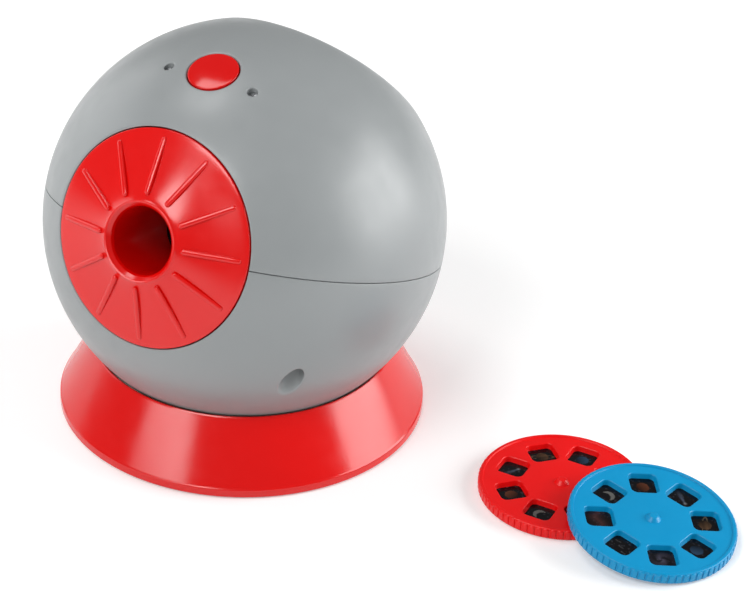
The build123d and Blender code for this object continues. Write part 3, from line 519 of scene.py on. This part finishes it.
def ring_of_pieces():
    """Geometry nodes that repeat one piece round the Z axis."""
    tree = bpy.data.node_groups.new("ring of pieces", "GeometryNodeTree")
    wanted = (("Piece", "Geometry"), ("Count", "Int"), ("First turn", "Float"), ("Finish", "Material"))
    for name, kind in wanted:
        tree.interface.new_socket(name, in_out="INPUT", socket_type="NodeSocket" + kind)
    tree.interface.new_socket("Ring", in_out="OUTPUT", socket_type="NodeSocketGeometry")
    given = add(tree, "NodeGroupInput").outputs
    step = add(tree, "ShaderNodeMath", {0: 2 * math.pi, 1: given["Count"]}, operation="DIVIDE")
    index = add(tree, "GeometryNodeInputIndex").outputs["Index"]
    turned = {0: index, 1: step.outputs["Value"], 2: given["First turn"]}
    angle = add(tree, "ShaderNodeMath", turned, operation="MULTIPLY_ADD").outputs["Value"]
    about_z = add(tree, "ShaderNodeCombineXYZ", {"Z": angle}).outputs["Vector"]
    turn = add(tree, "FunctionNodeEulerToRotation", {"Euler": about_z}).outputs["Rotation"]
    spots = add(tree, "GeometryNodePoints", {"Count": given["Count"]}).outputs["Points"]
    copied = {"Points": spots, "Instance": given["Piece"], "Rotation": turn}
    copies = add(tree, "GeometryNodeInstanceOnPoints", copied).outputs["Instances"]
    real = add(tree, "GeometryNodeRealizeInstances", {"Geometry": copies}).outputs["Geometry"]
    coated = {"Geometry": real, "Material": given["Finish"]}
    done = add(tree, "GeometryNodeSetMaterial", coated).outputs["Geometry"]
    add(tree, "NodeGroupOutput", {"Ring": done})
    return tree


ring_tree = ring_of_pieces()


def ring_mesh(name, one, count, first, finish, place):
    """One piece repeated round Z by the node tree, as a plain mesh put in place."""
    source = bpy.data.objects.new(name + "_one", make_mesh(name + "_one", *one, Matrix()))
    bpy.context.scene.collection.objects.link(source)
    nodes = source.modifiers.new("ring", "NODES")
    nodes.node_group = ring_tree
    items = ring_tree.interface.items_tree
    sockets = {item.name: item.identifier for item in items if item.in_out == "INPUT"}
    nodes[sockets["Count"]] = count
    nodes[sockets["First turn"]] = math.radians(first)
    nodes[sockets["Finish"]] = finish
    ready = source.evaluated_get(bpy.context.evaluated_depsgraph_get())
    mesh = bpy.data.meshes.new_from_object(ready)
    source.modifiers.remove(nodes)
    bpy.data.objects.remove(source)
    mesh.name = name
    mesh.transform(place)
    return mesh


def grip_rib():
    """A straight bar with a rounded top and round ends, sunk into the wheel's dish."""
    slope = math.atan2(RIB_IN[1] - RIB_OUT[1], RIB_OUT[0] - RIB_IN[0])
    length = math.hypot(RIB_IN[1] - RIB_OUT[1], RIB_OUT[0] - RIB_IN[0])
    half = RIB_W / 2
    ends = [half * (1 - math.cos(math.radians(a))) for a in (8, 22, 38, 54, 72, 90)]
    straight = list(np.linspace(half, length - half, 9))[1:-1]
    stations = ends + straight + [length - u for u in reversed(ends)]
    points, faces = [], []
    across = [math.radians(a) for a in range(0, 181, 15)]
    for u in stations:
        short = max(half - u, u - (length - half), 0.0) / half
        wide = half * math.sqrt(1 - short ** 2)
        drop = half * RIB_CROWN * (1 - (1 - short ** 2) ** 0.5)
        section = [(math.cos(a) * wide, RIB_CROWN * (math.sin(a) ** 0.7 - 1) - drop) for a in across]
        section += [(-wide, -RIB_ROOT), (wide, -RIB_ROOT)]
        for y, h in section:
            r = RIB_IN[0] + u * math.cos(slope) + h * math.sin(slope)
            d = RIB_IN[1] - u * math.sin(slope) + h * math.cos(slope)
            points.append((r, y, d))
    n = len(across) + 2
    for i in range(len(stations) - 1):
        faces += [(i * n + k, (i + 1) * n + k, (i + 1) * n + (k + 1) % n, i * n + (k + 1) % n) for k in range(n)]
    faces += [tuple(range(n)), tuple(range(len(points) - n, len(points)))]
    return points, faces


wheel_mesh = make_mesh("focus_wheel", *lathe(wheel_section, 240), eye_at)
piece("wheel_face", wheel_mesh, red_abs, "focus", "red_abs", "focus_wheel")
rib_mesh = ring_mesh("grip_ribs", grip_rib(), RIB_COUNT, RIB_FIRST, red_abs, eye_at)
piece("wheel_grip_ribs", rib_mesh, red_abs, "focus", "red_abs")

# Picture discs
# A thin disc in glossy polystyrene with a raised edge bead, a knurled rim, eight windows
# with a stepped frame and a centre nub. A back plate holds a film sheet behind the windows.
DISC_R, DISC_T, WEB_TOP, FILM_TOP = 33.0, 4.7, 4.2, 1.9
WINDOW_HALF, WINDOW_R, WINDOW_COUNT = 5.2, 21.0, 8
WINDOW_BEND, WINDOW_LIP, WINDOW_STEP = 2.0, 0.5, 0.45
RIM_R, BACK_R = 32.55, 31.2
KNURLS, KNURL_FIRST = 72, 3.0
PAD_ROOT = RIM_R - 0.3
PAD_LEVELS = ((0.3, 0.35), (0.5, 0.1), (0.8, 0.0), (3.7, 0.0), (4.05, 0.1), (4.3, 0.35))
PAD_HALF = [(1.16, PAD_ROOT), (1.12, RIM_R + 0.12), (0.9, DISC_R - 0.05)]
NUB_R, NUB_ROOT = 3.1, 2.5
FILM_IN, FILM_OUT, FILM_UNDER = 12.9, 29.1, 1.71
FILM_ROWS, FILM_STEPS = 56, 480
FILM_DARK = (0.008, 0.008, 0.010, 1.0)
PICTURE_HALF, PICTURE_LEVEL, STARS = 5.6, 0.32, 26
SMEAR_MM = 5.0
RED_X, RED_Y, RED_TURN = 142.2, 11.1, 3.0
BLUE_APART, BLUE_BEARING, BLUE_TURN = 42.3, -9.0, 44.5
LOADED_Y, LOADED_Z = 42.0, 21.0


def window_angle(i):
    """The turn of one window about the disc's axis."""
    return math.radians(360 / WINDOW_COUNT * i - 90)


def disc_body():
    """The disc's moulding: rim and windows as edges of one skin, and the nub on top."""
    rim = rounded([
        (30.3, WEB_TOP, 0), (31.0, WEB_TOP, 0.2), (31.15, DISC_T, 0.22), (RIM_R, DISC_T, 0.4), (RIM_R, 0.0, 0.35),
        (BACK_R, 0.0, 0.25), (BACK_R, FILM_TOP, 0),
    ], closed=False, steps=4)
    edges = [[at_height(circle(r, 240), z, UPRIGHT) for r, z in rim]]
    steps = [(WINDOW_STEP + WINDOW_LIP * (1 - math.sin(b)), WEB_TOP - WINDOW_LIP * (1 - math.cos(b))) for b in ARC]
    steps.append((0.0, FILM_TOP))
    window = (WINDOW_R - WINDOW_HALF, WINDOW_R + WINDOW_HALF, -WINDOW_HALF, WINDOW_HALF, WINDOW_BEND)
    for i in range(WINDOW_COUNT):
        a = window_angle(i)
        turn = np.array(((math.cos(a), -math.sin(a)), (math.sin(a), math.cos(a))))
        edges.append([at_height(box_outline(*window, e, 1.2) @ turn.T, z, UPRIGHT) for e, z in steps])
    inner_circle = at_height(circle(9.0, 60), WEB_TOP, UPRIGHT)
    body = skin(edges, inner_circle, np.zeros((0, 3)), lambda points: points[:, :2])
    nub = rounded([
        (0.0, 5.95, 0), (1.7, 5.8, 0.6), (2.5, 4.9, 0.4), (NUB_R, WEB_TOP - 0.02, 0.3), (NUB_R, NUB_ROOT, 0),
        (0.0, NUB_ROOT, 0),
    ], closed=False)
    return joined(body, lathe(nub, 48))


def knurl_pad():
    """One grip pad of the rim: a low block with rounded sides and ends."""
    across = [(-y, r) for y, r in PAD_HALF] + [(0.0, DISC_R)] + PAD_HALF[::-1]
    points = [(max(r - drop, PAD_ROOT), y, z) for z, drop in PAD_LEVELS for y, r in across]
    faces, n = [], len(across)
    for i in range(len(PAD_LEVELS) - 1):
        faces += [(i * n + k, i * n + (k + 1) % n, (i + 1) * n + (k + 1) % n, (i + 1) * n + k) for k in range(n)]
    faces += [tuple(range(n)), tuple(range(len(points) - n, len(points)))]
    return points, faces


def picture(kind, x, y, rng):
    """A generic night-sky picture for one window, as colours at points from -1 to 1.

    By kind: ringed planet, moon, spiral, comet, cloud, blue globe, red globe, star line.
    The colours are linear light, because they are added together.
    """
    tone = np.zeros((len(x), 3)) + np.array((0.010, 0.010, 0.014))
    r = np.hypot(x, y)
    for _ in range(STARS):
        sx, sy, size = rng.uniform(-1, 1), rng.uniform(-1, 1), rng.uniform(0.03, 0.075)
        spark = np.exp(-((x - sx) ** 2 + (y - sy) ** 2) / size ** 2)
        tone += spark[:, None] * np.array((0.5, 0.52, 0.6)) * rng.uniform(0.02, 0.25)
    globe = (r < 0.5)[:, None]
    lit = np.clip(0.55 - 0.8 * x + 0.5 * y, 0.03, 1)[:, None]
    if kind == 0:
        bands = (0.8 + 0.2 * np.sin(14 * y))[:, None]
        tone = np.where(globe, lit * np.array((0.30, 0.16, 0.08)) * bands, tone)
        ring_r = np.hypot(x * 0.55 + y * 0.1, y * 2.2 - x * 0.5)
        ring = (np.abs(ring_r - 0.5) < 0.05)[:, None] & ~globe
        tone = np.where(ring, np.array((0.26, 0.2, 0.12)), tone)
    elif kind == 1:
        moon = globe & (np.hypot(x - 0.28, y - 0.12) > 0.46)[:, None]
        tone = np.where(moon, np.array((0.36, 0.35, 0.32)), tone)
    elif kind == 2:
        swirl = np.exp(-2.2 * r) * (0.55 + 0.45 * np.cos(2 * np.arctan2(y, x) - 6.5 * r))
        tone += swirl[:, None] * np.array((0.22, 0.2, 0.3))
    elif kind == 3:
        tail_w = 0.05 + 0.16 * np.clip(x + 0.5, 0, 2)
        tail = np.exp(-((y - 0.6 * x) / tail_w) ** 2) * (x > -0.45) * np.clip(0.9 - x, 0, 1)
        head = np.exp(-((x + 0.45) ** 2 + (y + 0.27) ** 2) / 0.012)
        tone += tail[:, None] * np.array((0.16, 0.2, 0.3)) + head[:, None] * 0.5
    elif kind == 4:
        cloud = np.exp(-3 * np.abs(y + 0.2 * np.sin(4 * x))) * 0.16
        tone += cloud[:, None] * np.array((0.9, 0.3, 0.25))
    elif kind == 5:
        tone = np.where(globe, lit * np.array((0.07, 0.16, 0.3)), tone)
    elif kind == 6:
        tone = np.where(globe, lit * np.array((0.3, 0.09, 0.04)), tone)
    else:
        line = np.abs(y - 0.4 * np.sin(3.1 * np.round(x * 2) / 2)) < 0.05
        tone += (line * 0.08)[:, None]
    return np.clip(tone, 0, 1) * PICTURE_LEVEL


def film_mesh(name, seed, place):
    """A thin ring of film; each point under a window carries its picture's colour."""
    line = [(r, FILM_TOP - 0.01) for r in np.linspace(FILM_IN, FILM_OUT, FILM_ROWS)]
    line += [(FILM_OUT, FILM_UNDER), (FILM_IN, FILM_UNDER)]
    mesh = make_mesh(name, *lathe(line, FILM_STEPS), Matrix())
    spots = np.array([v.co for v in mesh.vertices]) / MM
    colours = np.zeros((len(spots), 4)) + np.array(FILM_DARK)
    rng = np.random.default_rng(seed)
    for i in range(WINDOW_COUNT):
        a = window_angle(i)
        out = spots[:, 0] * math.cos(a) + spots[:, 1] * math.sin(a) - WINDOW_R
        side = -spots[:, 0] * math.sin(a) + spots[:, 1] * math.cos(a)
        here = (np.abs(out) < PICTURE_HALF) & (np.abs(side) < PICTURE_HALF)
        across, along = side[here] / WINDOW_HALF, out[here] / WINDOW_HALF
        colours[here, :3] = picture((i * 3 + seed) % 8, across, along, rng)
    layer = mesh.color_attributes.new("picture", "FLOAT_COLOR", "POINT")
    layer.data.foreach_set("color", colours.ravel())
    mesh.transform(place)
    return mesh


# Film: near black and glossy, with dim pictures under faint finger smears
film, film_tree, film_shader = material("photographic film, glossy")
film_shader.inputs["IOR"].default_value = 1.3
seen_picture = add(film_tree, "ShaderNodeVertexColor", layer_name="picture")
film_tree.links.new(seen_picture.outputs["Color"], film_shader.inputs["Base Color"])
film_place = add(film_tree, "ShaderNodeTexCoord").outputs["Object"]
smear_size = {"Vector": film_place, "Scale": per_mm(SMEAR_MM), "Detail": 2.0}
smear = add(film_tree, "ShaderNodeTexNoise", smear_size).outputs["Fac"]
smear_range = {"Value": smear, "To Min": 0.06, "To Max": 0.2}
smear_rough = add(film_tree, "ShaderNodeMapRange", smear_range).outputs["Result"]
film_tree.links.new(smear_rough, film_shader.inputs["Roughness"])

# Polystyrene: bright clean colour under a soft, wide gloss
red_styrene = moulded("glossy red polystyrene, moulded", "#EE090B", "#E60709", 0.34, 0.06, ior=1.42)
blue_styrene = moulded("glossy blue polystyrene, moulded", "#0093C9", "#008DC1", 0.34, 0.06, ior=1.42)
# The blue disc lies with one edge on the red disc and the other on the floor
lean = math.degrees((DISC_T + 0.15) / BLUE_APART)
blue_z = DISC_R * math.sin(math.radians(lean)) + 0.02


def move(x, y, z):
    """A shift in millimetres."""
    return Matrix.Translation((x * MM, y * MM, z * MM))


def spin(degrees, axis):
    """A turn in degrees about one axis."""
    return Matrix.Rotation(math.radians(degrees), 4, axis)


red_centre = move(RED_X, RED_Y, 0)
red_at = red_centre @ spin(RED_TURN, "Z")
blue_centre = red_centre @ spin(BLUE_BEARING, "Z") @ move(BLUE_APART, 0, blue_z)
blue_at = blue_centre @ spin(lean, "Y") @ spin(BLUE_TURN, "Z")
loaded_at = eye_at @ move(0, LOADED_Z, -LOADED_Y - DISC_T / 2)
one_body = disc_body()
for disc, body, seed, place, finish, slot in (
    ("red_disc", "red_disc", 1, red_at, red_styrene, "red_abs"),
    ("blue_disc", "blue_disc", 2, blue_at, blue_styrene, "blue_abs"),
    ("loaded_disc", "disc", 3, loaded_at, red_styrene, "red_abs"),
):
    body_mesh = make_mesh(disc, *one_body, place)
    pad_mesh = ring_mesh(disc + "_pads", knurl_pad(), KNURLS, KNURL_FIRST, finish, place)
    piece(disc + "_moulding", body_mesh, finish, body, slot, disc + "_body")
    piece(disc + "_knurls", pad_mesh, finish, body, slot)
    piece(disc + "_pictures", film_mesh(disc + "_film", seed, place), film, body, "film", disc + "_film")
    dress(finish, disc + "_back")

# Inside the ball
# A battery box in the lower shell with the control board screwed to it, and an optics
# frame screwed to the shell's legs: matte black mouldings, a white lamp house, printed
# boards, polished lenses, plain aluminium and jacketed leads.
DUST_MM = 3.0
# Flat black takes stray light; the white lamp house sends it on
black_abs = moulded("matte black ABS, moulded", "#1B1B1C", "#161617", 0.55, 0.15)
white_abs = moulded("white ABS, moulded", "#ECEBE6", "#E4E3DD", 0.35, 0.08)
# Solder mask: a lacquered green. PVC: a soft, dull red. Cell wrap: a shiny thin film
solder_mask = moulded("green solder mask on board", "#1E6B3C", "#195F34", 0.3, 0.1)
jacket = moulded("red PVC lead jacket", "#A81E1E", "#9C1A1A", 0.45, 0.1)
cell_wrap = moulded("printed cell wrap, plain green", "#4D7A4F", "#456F47", 0.28, 0.04)
dress(black_abs, "battery_box", "board_parts", "optics_frame", "focus_retainer", "cam_sleeve", "lens_barrel",
      "lens_retainers", "switch_plunger", "switch_bracket", "power_switch")
dress(white_abs, "lamp_house")
dress(zinc, "board_screws", "frame_screws", "retainer_screws", "cam_pins", "battery_contacts")
dress(solder_mask, "control_board", "led_board")
dress(jacket, "lamp_leads", "switch_lead", "battery_leads")
dress(cell_wrap, "battery_cells")
# Extruded aluminium: pale and bright, with fine lines along its length
dress(metal("extruded aluminium", "#D6D7D9", 0.35, 0.1), "heat_sink")
# Polished acrylic: clear, with a faint haze of dust
lens, lens_tree, lens_shader = material("polished acrylic lens")
lens_shader.inputs["Base Color"].default_value = linear("#F4F8F8")
lens_shader.inputs["Transmission Weight"].default_value = 1.0
lens_shader.inputs["IOR"].default_value = 1.49
lens_place = add(lens_tree, "ShaderNodeTexCoord").outputs["Object"]
dust_size = {"Vector": lens_place, "Scale": per_mm(DUST_MM)}
dust = add(lens_tree, "ShaderNodeTexNoise", dust_size).outputs["Fac"]
dust_range = {"Value": dust, "To Min": 0.0, "To Max": 0.06}
dust_rough = add(lens_tree, "ShaderNodeMapRange", dust_range).outputs["Result"]
lens_tree.links.new(dust_rough, lens_shader.inputs["Roughness"])
dress(lens, "front_lens", "rear_lens", "condenser_lens", "led_emitter")

# Stage, light and camera
# A pale paper floor, and five softboxes: overhead, in front above the wheel, wide to the
# right and behind, large to the left, and a low strip in front that the base mirrors.
FLOOR_HALF, FLOOR_Z = 40.0, -0.0003
floor_mesh = bpy.data.meshes.new("floor")
corners = [(x * FLOOR_HALF, y * FLOOR_HALF, FLOOR_Z) for x, y in ((-1, -1), (1, -1), (1, 1), (-1, 1))]
floor_mesh.from_pydata(corners, [], [(0, 1, 2, 3)])
floor = bpy.data.objects.new("floor", floor_mesh)
bpy.context.scene.collection.objects.link(floor)
# Matte paper: it glows a little to the eye, in gloss and through the lenses, and more with
# distance, so that the ground is white and only the soft shadow shows
paper, paper_tree, paper_shader = material("white studio paper")
paper_shader.inputs["Base Color"].default_value = linear("#EEEEEE")
paper_shader.inputs["Roughness"].default_value = 0.9
paper_shader.inputs["Emission Color"].default_value = linear("#FFFFFF")
rays = add(paper_tree, "ShaderNodeLightPath").outputs
either = {0: rays["Is Camera Ray"], 1: rays["Is Transmission Ray"]}
seen_or_through = add(paper_tree, "ShaderNodeMath", either, operation="MAXIMUM").outputs["Value"]
any_of = {0: seen_or_through, 1: rays["Is Glossy Ray"]}
seen = add(paper_tree, "ShaderNodeMath", any_of, operation="MAXIMUM").outputs["Value"]
spot = add(paper_tree, "ShaderNodeTexCoord").outputs["Object"]
away = add(paper_tree, "ShaderNodeVectorMath", {0: spot}, operation="LENGTH").outputs["Value"]
pale = {"Value": away, "From Min": 0.3, "From Max": 1.2, "To Min": 0.24, "To Max": 0.75}
level = add(paper_tree, "ShaderNodeMapRange", pale).outputs["Result"]
glow = add(paper_tree, "ShaderNodeMath", {0: seen, 1: level}, operation="MULTIPLY").outputs["Value"]
paper_tree.links.new(glow, paper_shader.inputs["Emission Strength"])
floor_mesh.materials.append(paper)

world = bpy.data.worlds.new("studio")
bpy.context.scene.world = world
world.use_nodes = True
sky = world.node_tree.nodes["Background"]
sky.inputs["Color"].default_value = linear("#FFFFFF")
sky.inputs["Strength"].default_value = 0.22


def softbox(name, place, target, width, height, watts):
    """A rectangular lamp that faces a target; sizes and places in metres."""
    light = bpy.data.lights.new(name, "AREA")
    light.shape = "RECTANGLE"
    light.size, light.size_y, light.energy = width, height, watts
    made = bpy.data.objects.new(name, light)
    bpy.context.scene.collection.objects.link(made)
    made.location = place
    made.rotation_mode = "QUATERNION"
    made.rotation_quaternion = (Vector(target) - Vector(place)).to_track_quat("-Z", "Y")
    made.visible_camera = False


softbox("overhead_softbox", (-0.37, 0.03, 1.05), (-0.1, 0, 0.08), 0.4, 0.36, 2.4)
softbox("front_softbox", (-0.06, -0.8, 0.94), (0, 0, 0.08), 0.62, 0.38, 6.2)
softbox("right_softbox", (0.98, 0.56, 0.42), (0, 0, 0.1), 0.95, 0.72, 13.6)
softbox("left_softbox", (-1.0, 0.1, 0.42), (0, 0, 0.1), 0.85, 0.64, 2.3)
softbox("low_front_softbox", (-0.34, -1.09, 0.45), (0, 0, 0.05), 0.72, 0.24, 3.1)

camera = bpy.data.cameras.new("camera")
camera.lens = 120.0
camera.sensor_width = 36.0
camera.clip_start, camera.clip_end = 0.01, 100.0
viewer = bpy.data.objects.new("camera", camera)
bpy.context.scene.collection.objects.link(viewer)
# The camera's place in metres and its own axes, fitted to the outlines in the photograph
CAMERA_AT = (0.46083, -0.73185, 0.57489)
RIGHT, UP = (0.863356, 0.502709, 0.043597), (-0.293931, 0.430803, 0.853236)
BACK = (0.410148, -0.749461, 0.519698)
viewer.matrix_world = Matrix.Translation(CAMERA_AT) @ Matrix((RIGHT, UP, BACK)).transposed().to_4x4()
bpy.context.scene.camera = viewer
bpy.context.scene.view_settings.view_transform = "Standard"
